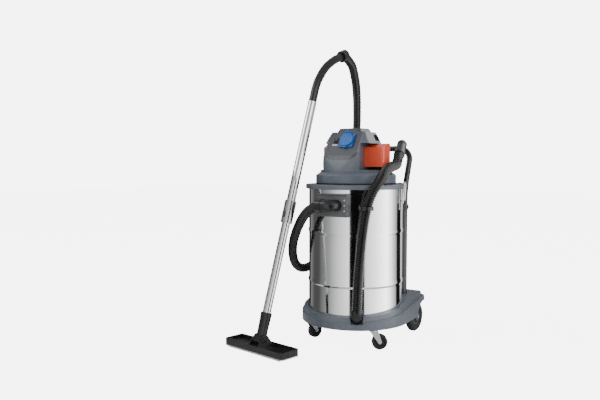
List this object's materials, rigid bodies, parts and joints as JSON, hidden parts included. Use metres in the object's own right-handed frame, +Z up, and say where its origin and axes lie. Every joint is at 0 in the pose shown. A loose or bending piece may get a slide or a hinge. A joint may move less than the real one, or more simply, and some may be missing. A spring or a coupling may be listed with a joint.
{
  "type": "shop vacuum",
  "caption": "Wet and dry vacuum cleaner with a polished steel drum on a wheeled trolley, grey motor head, suction hose, telescopic wand, floor tool and drain hose.",
  "frame": {"origin": "on the floor, on the drum's vertical axis", "axes": "+Z up along the drum's axis; -Y is the front, where the suction inlet and the swivel casters are; +Y is the rear with the push handle and large wheels; +X is to the right seen from the front"},
  "size_m": [0.5698, 0.7828, 1.1935],
  "materials": {
    "polished_steel": "polished",
    "grey_plastic": "satin",
    "dark_grey_plastic": "satin",
    "inlet_plastic": "satin",
    "orange_plastic": "gloss",
    "blue_plastic": "gloss",
    "black_plastic": "satin",
    "hose_plastic": "satin",
    "black_paint": "gloss",
    "chrome": "polished",
    "zinc": "zinc plated",
    "rubber": "matte",
    "hub_plastic": "satin",
    "motor_metal": "cast",
    "filter_paper": "pleated",
    "float_plastic": "satin",
    "brush_hair": "bristle"
  },
  "bodies": {
    "vacuum": {"drum": "polished_steel", "rim_band": "grey_plastic", "rim_gasket": "rubber", "trolley": "grey_plastic", "push_handle": "black_paint", "handle_brackets": "black_paint", "inlet_housing": "inlet_plastic", "inlet_rivets": "zinc", "inlet_elbow": "black_plastic", "hose_cuff": "black_plastic", "suction_hose": "hose_plastic", "hose_collar": "black_plastic", "hand_tube": "black_plastic", "drain_elbow": "black_plastic", "drain_hose": "hose_plastic", "drain_clip": "black_plastic", "drain_fitting": "black_plastic", "latch_bases": "chrome", "rear_axle": "zinc", "caster_plates": "zinc"},
    "head": {"head_base": "grey_plastic", "head_cover": "grey_plastic", "control_panel": "dark_grey_plastic", "top_cap": "dark_grey_plastic", "side_grip_left": "orange_plastic", "side_grip_right": "orange_plastic", "vent_louvres": "black_plastic", "motor_plate": "zinc", "motor_housing": "motor_metal", "filter_cartridge": "filter_paper", "float_cage": "black_plastic", "tool_socket": "blue_plastic", "switch_frame": "black_plastic", "cable_gland": "black_plastic", "latch_keepers": "chrome"},
    "fan": {"fan_rotor": "zinc"},
    "float": {"float_ball": "float_plastic"},
    "lid": {"socket_lid": "blue_plastic"},
    "rocker": {"switch_rocker": "black_plastic"},
    "lever_left": {"latch_lever_left": "black_plastic"},
    "lever_right": {"latch_lever_right": "black_plastic"},
    "bail_left": {"latch_bail_left": "chrome"},
    "bail_right": {"latch_bail_right": "chrome"},
    "fork_left": {"caster_fork_left": "zinc"},
    "fork_right": {"caster_fork_right": "zinc"},
    "roller_left": {"caster_wheel_left": "rubber"},
    "roller_right": {"caster_wheel_right": "rubber"},
    "wheel_left": {"rear_tyre_left": "rubber", "rear_hub_left": "hub_plastic"},
    "wheel_right": {"rear_tyre_right": "rubber", "rear_hub_right": "hub_plastic"},
    "wand": {"wand_upper": "chrome", "wand_coupling": "chrome"},
    "lock_button": {"wand_lock_button": "black_plastic"},
    "wand_inner": {"wand_lower": "chrome", "wand_socket": "black_plastic"},
    "elbow": {"tool_elbow": "black_plastic"},
    "tool": {"tool_body": "black_plastic", "tool_sole": "zinc", "brush_strips": "brush_hair"}
  },
  "joints": [
    {"name": "head_lift", "type": "slide", "parent": "vacuum", "child": "head", "axis": [0, 0, 1], "range_m": [0, 0.25], "deforming": ["drain_hose"]},
    {"name": "fan_spin", "type": "hinge", "parent": "head", "child": "fan", "pos_m": [0, 0, 0.68], "axis": [0, 0, 1], "continuous": true},
    {"name": "float_rise", "type": "slide", "parent": "head", "child": "float", "axis": [0, 0, 1], "range_m": [0, 0.024]},
    {"name": "socket_lid_hinge", "type": "hinge", "parent": "head", "child": "lid", "pos_m": [0.014, -0.08539, 0.83571], "axis": [-1, 0, 0], "range_deg": [0, 110], "stiffness_Nm_per_rad": 0.02, "springref_deg": -22.92},
    {"name": "switch_rocker_tilt", "type": "hinge", "parent": "head", "child": "rocker", "pos_m": [-0.038, -0.09214, 0.80126], "axis": [1, 0, 0], "range_deg": [0, 12]},
    {"name": "latch_lever_right_turn", "type": "hinge", "parent": "vacuum", "child": "lever_right", "pos_m": [0.2007, 0.03179, 0.565], "axis": [0.1564, -0.9877, 0], "range_deg": [0, 110]},
    {"name": "latch_bail_right_turn", "type": "hinge", "parent": "lever_right", "child": "bail_right", "pos_m": [0.19922, 0.03155, 0.5567], "axis": [0.1564, -0.9877, 0], "range_deg": [-125, 0]},
    {"name": "latch_lever_left_turn", "type": "hinge", "parent": "vacuum", "child": "lever_left", "pos_m": [-0.2007, 0.03179, 0.565], "axis": [0.1564, 0.9877, 0], "range_deg": [0, 110]},
    {"name": "latch_bail_left_turn", "type": "hinge", "parent": "lever_left", "child": "bail_left", "pos_m": [-0.19922, 0.03155, 0.5567], "axis": [0.1564, 0.9877, 0], "range_deg": [-125, 0]},
    {"name": "caster_left_swivel", "type": "hinge", "parent": "vacuum", "child": "fork_left", "pos_m": [-0.145, -0.115, 0.07], "axis": [0, 0, 1], "continuous": true},
    {"name": "caster_left_roll", "type": "hinge", "parent": "fork_left", "child": "roller_left", "pos_m": [-0.13758, -0.09217, 0.03], "axis": [-0.9511, 0.309, 0], "continuous": true},
    {"name": "rear_wheel_left_roll", "type": "hinge", "parent": "vacuum", "child": "wheel_left", "pos_m": [-0.155, 0.235, 0.0625], "axis": [1, 0, 0], "continuous": true},
    {"name": "caster_right_swivel", "type": "hinge", "parent": "vacuum", "child": "fork_right", "pos_m": [0.145, -0.115, 0.07], "axis": [0, 0, 1], "continuous": true},
    {"name": "caster_right_roll", "type": "hinge", "parent": "fork_right", "child": "roller_right", "pos_m": [0.1648, -0.10144, 0.03], "axis": [-0.565, 0.8251, 0], "continuous": true},
    {"name": "rear_wheel_right_roll", "type": "hinge", "parent": "vacuum", "child": "wheel_right", "pos_m": [0.155, 0.235, 0.0625], "axis": [1, 0, 0], "continuous": true},
    {"name": "wand_turn", "type": "hinge", "parent": "vacuum", "child": "wand", "pos_m": [-0.14222, -0.10553, 0.96016], "axis": [0.0499, 0.2949, 0.9542], "continuous": true},
    {"name": "wand_retract", "type": "slide", "parent": "wand", "child": "wand_inner", "axis": [0.0499, 0.2949, 0.9542], "range_m": [0, 0.3]},
    {"name": "lock_button_press", "type": "slide", "parent": "wand", "child": "lock_button", "axis": [0.0499, 0.2949, 0.9542], "range_m": [0, 0.006], "stiffness_N_per_m": 400, "springref_m": -0.002},
    {"name": "tool_swivel", "type": "hinge", "parent": "wand_inner", "child": "elbow", "pos_m": [-0.189, -0.3821, 0.06508], "axis": [0.0499, 0.2949, 0.9542], "continuous": true},
    {"name": "tool_tilt", "type": "hinge", "parent": "elbow", "child": "tool", "pos_m": [-0.19, -0.388, 0.046], "axis": [0.986, -0.1668, 0], "range_deg": [-12, 40]}
  ],
  "couplings": [
    {"joint": "latch_bail_right_turn", "follows": "latch_lever_right_turn", "ratio": -1.136},
    {"joint": "latch_bail_left_turn", "follows": "latch_lever_left_turn", "ratio": -1.136}
  ]
}
